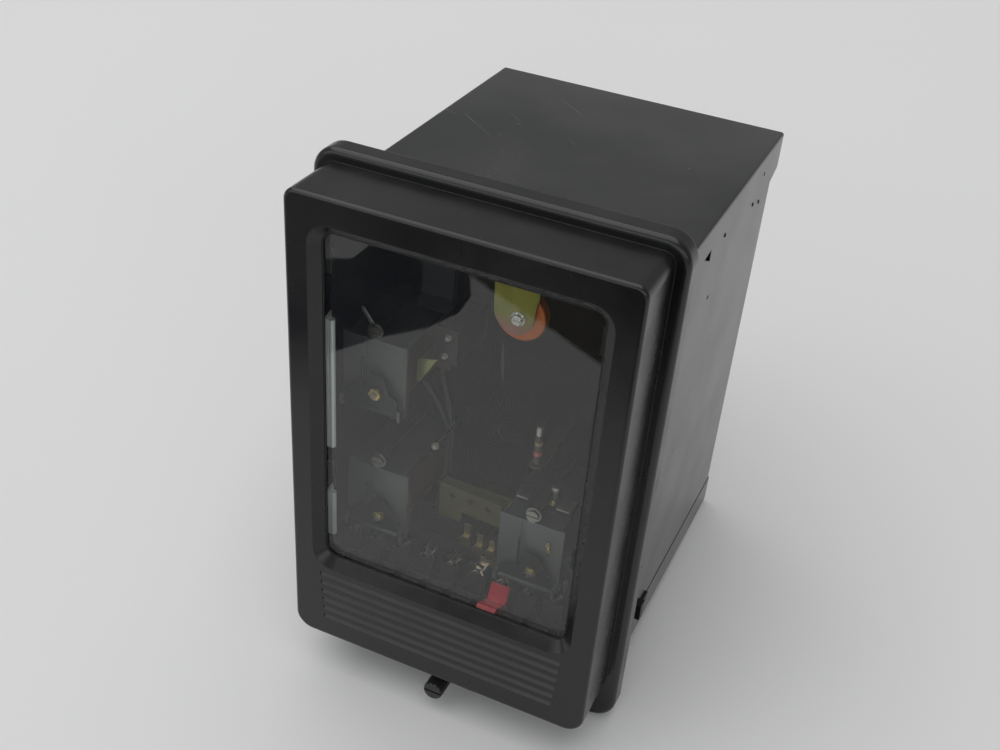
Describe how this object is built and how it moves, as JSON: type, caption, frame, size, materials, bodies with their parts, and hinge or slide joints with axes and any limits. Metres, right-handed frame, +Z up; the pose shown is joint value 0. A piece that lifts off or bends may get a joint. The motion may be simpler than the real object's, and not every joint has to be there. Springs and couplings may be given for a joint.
{
  "type": "protective relay",
  "caption": "Electromechanical protective relay in a semi-flush drawout case with a pull-off window cover, knife-blade test switches and clapper units.",
  "frame": {"origin": "centre of the panel-mounting face, which is the rear face of the case's flange, midway between its four mounting holes", "axes": "+Y points back through the panel into the case, +Z up, the window faces -Y, +X is to the right seen from the front"},
  "size_m": [0.1684, 0.2117, 0.2672],
  "materials": {
    "cover_frame": "satin moulded black",
    "window_glass": "clear",
    "glass_gasket": "black",
    "glass_clips": "plated",
    "cover_screw": "knurled black",
    "case_flange": "black enamel",
    "case_shell": "satin black enamel",
    "case_bottom": "satin black enamel",
    "case_back": "moulded phenolic",
    "case_clips": "blackened spring steel",
    "terminal_studs": "nickel plated",
    "terminal_nuts": "plated brass",
    "switch_base": "moulded phenolic",
    "switch_pin": "drawn steel",
    "switch_01_blade": "silver-plated copper",
    "switch_01_handle": "moulded black",
    "switch_02_blade": "silver-plated copper",
    "switch_02_handle": "moulded black",
    "switch_03_blade": "silver-plated copper",
    "switch_03_handle": "moulded black",
    "switch_04_blade": "silver-plated copper",
    "switch_04_handle": "moulded black",
    "switch_05_blade": "silver-plated copper",
    "switch_05_handle": "moulded black",
    "switch_06_blade": "silver-plated copper",
    "switch_06_handle": "moulded black",
    "switch_07_blade": "silver-plated copper",
    "switch_07_handle": "moulded red",
    "switch_08_blade": "silver-plated copper",
    "switch_08_handle": "moulded black",
    "switch_09_blade": "silver-plated copper",
    "switch_09_handle": "moulded black",
    "switch_10_blade": "silver-plated copper",
    "switch_10_handle": "moulded black",
    "jaw_block": "moulded phenolic",
    "switch_jaws": "silver-plated spring copper",
    "chassis_frame": "zinc-plated sheet",
    "guide_strips": "bright nickel",
    "latch_top": "moulded black",
    "latch_bottom": "moulded black",
    "latch_pins": "plated",
    "upper_unit_frame": "nickel-plated iron",
    "upper_unit_coil": "taped winding",
    "upper_unit_armature": "blackened iron",
    "lower_left_unit_frame": "nickel-plated iron",
    "lower_left_unit_coil": "taped winding",
    "lower_left_unit_armature": "blackened iron",
    "lower_right_unit_frame": "nickel-plated iron",
    "lower_right_unit_coil": "taped winding",
    "lower_right_unit_armature": "blackened iron",
    "unit_cores": "soft iron",
    "unit_nuts": "brass",
    "unit_screws": "plated",
    "varistor_disc": "copper-coloured sprayed disc",
    "varistor_bracket": "yellow chromate",
    "varistor_screw": "plated",
    "resistor_bobbin": "wire-wound spool",
    "contact_plate": "amber moulding",
    "brass_terminals": "brass",
    "wiring": "insulated lead"
  },
  "bodies": {
    "case": {"case_flange": "case_flange", "case_shell": "case_shell", "case_bottom": "case_bottom", "case_back": "case_back", "case_clips": "case_clips", "terminal_studs": "terminal_studs", "terminal_nuts": "terminal_nuts", "switch_base": "switch_base", "switch_pin": "switch_pin", "jaw_block": "jaw_block", "switch_jaws": "switch_jaws", "chassis_frame": "chassis_frame", "guide_strips": "guide_strips", "latch_pins": "latch_pins", "upper_unit_frame": "upper_unit_frame", "upper_unit_coil": "upper_unit_coil", "lower_left_unit_frame": "lower_left_unit_frame", "lower_left_unit_coil": "lower_left_unit_coil", "lower_right_unit_frame": "lower_right_unit_frame", "lower_right_unit_coil": "lower_right_unit_coil", "unit_cores": "unit_cores", "unit_nuts": "unit_nuts", "unit_screws": "unit_screws", "varistor_disc": "varistor_disc", "varistor_bracket": "varistor_bracket", "varistor_screw": "varistor_screw", "resistor_bobbin": "resistor_bobbin", "contact_plate": "contact_plate", "brass_terminals": "brass_terminals", "wiring": "wiring"},
    "cover": {"cover_frame": "cover_frame", "window_glass": "window_glass", "glass_gasket": "glass_gasket", "glass_clips": "glass_clips"},
    "cover_screw": {"cover_screw": "cover_screw"},
    "switch_01": {"switch_01_blade": "switch_01_blade", "switch_01_handle": "switch_01_handle"},
    "switch_02": {"switch_02_blade": "switch_02_blade", "switch_02_handle": "switch_02_handle"},
    "switch_03": {"switch_03_blade": "switch_03_blade", "switch_03_handle": "switch_03_handle"},
    "switch_04": {"switch_04_blade": "switch_04_blade", "switch_04_handle": "switch_04_handle"},
    "switch_05": {"switch_05_blade": "switch_05_blade", "switch_05_handle": "switch_05_handle"},
    "switch_06": {"switch_06_blade": "switch_06_blade", "switch_06_handle": "switch_06_handle"},
    "switch_07": {"switch_07_blade": "switch_07_blade", "switch_07_handle": "switch_07_handle"},
    "switch_08": {"switch_08_blade": "switch_08_blade", "switch_08_handle": "switch_08_handle"},
    "switch_09": {"switch_09_blade": "switch_09_blade", "switch_09_handle": "switch_09_handle"},
    "switch_10": {"switch_10_blade": "switch_10_blade", "switch_10_handle": "switch_10_handle"},
    "latch_top": {"latch_top": "latch_top"},
    "latch_bottom": {"latch_bottom": "latch_bottom"},
    "upper_armature": {"upper_unit_armature": "upper_unit_armature"},
    "lower_left_armature": {"lower_left_unit_armature": "lower_left_unit_armature"},
    "lower_right_armature": {"lower_right_unit_armature": "lower_right_unit_armature"}
  },
  "joints": [
    {"name": "cover_pull", "type": "slide", "parent": "case", "child": "cover", "axis": [0, -1, 0], "range_m": [0, 0.12]},
    {"name": "cover_screw_turn", "type": "hinge", "parent": "cover", "child": "cover_screw", "pos_m": [0, -0.027, -0.1241], "axis": [0, 1, 0], "continuous": true},
    {"name": "switch_01_hinge", "type": "hinge", "parent": "case", "child": "switch_01", "pos_m": [-0.068, -0.002, -0.1], "axis": [1, 0, 0], "range_deg": [0, 42]},
    {"name": "switch_02_hinge", "type": "hinge", "parent": "case", "child": "switch_02", "pos_m": [-0.054, -0.002, -0.1], "axis": [1, 0, 0], "range_deg": [0, 42]},
    {"name": "switch_03_hinge", "type": "hinge", "parent": "case", "child": "switch_03", "pos_m": [-0.04, -0.002, -0.1], "axis": [1, 0, 0], "range_deg": [0, 42]},
    {"name": "switch_04_hinge", "type": "hinge", "parent": "case", "child": "switch_04", "pos_m": [-0.026, -0.002, -0.1], "axis": [1, 0, 0], "range_deg": [0, 42]},
    {"name": "switch_05_hinge", "type": "hinge", "parent": "case", "child": "switch_05", "pos_m": [-0.012, -0.002, -0.1], "axis": [1, 0, 0], "range_deg": [0, 42]},
    {"name": "switch_06_hinge", "type": "hinge", "parent": "case", "child": "switch_06", "pos_m": [0.002, -0.002, -0.1], "axis": [1, 0, 0], "range_deg": [0, 42]},
    {"name": "switch_07_hinge", "type": "hinge", "parent": "case", "child": "switch_07", "pos_m": [0.016, -0.002, -0.1], "axis": [1, 0, 0], "range_deg": [0, 42]},
    {"name": "switch_08_hinge", "type": "hinge", "parent": "case", "child": "switch_08", "pos_m": [0.03, -0.002, -0.1], "axis": [1, 0, 0], "range_deg": [0, 42]},
    {"name": "switch_09_hinge", "type": "hinge", "parent": "case", "child": "switch_09", "pos_m": [0.044, -0.002, -0.1], "axis": [1, 0, 0], "range_deg": [0, 42]},
    {"name": "switch_10_hinge", "type": "hinge", "parent": "case", "child": "switch_10", "pos_m": [0.058, -0.002, -0.1], "axis": [1, 0, 0], "range_deg": [0, 42]},
    {"name": "latch_top_hinge", "type": "hinge", "parent": "case", "child": "latch_top", "pos_m": [-0.022, -0.0065, 0.097], "axis": [-1, 0, 0], "range_deg": [0, 85]},
    {"name": "latch_bottom_hinge", "type": "hinge", "parent": "case", "child": "latch_bottom", "pos_m": [0.06, -0.0065, -0.056], "axis": [1, 0, 0], "range_deg": [0, 85]},
    {"name": "upper_armature_hinge", "type": "hinge", "parent": "case", "child": "upper_armature", "pos_m": [-0.053, -0.0114, 0.01155], "axis": [-1, 0, 0], "range_deg": [0, 5.5], "stiffness_Nm_per_rad": 0.02, "springref_deg": -11.46},
    {"name": "lower_left_armature_hinge", "type": "hinge", "parent": "case", "child": "lower_left_armature", "pos_m": [-0.0503, -0.0114, -0.06015], "axis": [-1, 0, 0], "range_deg": [0, 5.5], "stiffness_Nm_per_rad": 0.02, "springref_deg": -11.46},
    {"name": "lower_right_armature_hinge", "type": "hinge", "parent": "case", "child": "lower_right_armature", "pos_m": [0.0312, -0.0114, -0.06065], "axis": [-1, 0, 0], "range_deg": [0, 5.5], "stiffness_Nm_per_rad": 0.02, "springref_deg": -11.46}
  ]
}
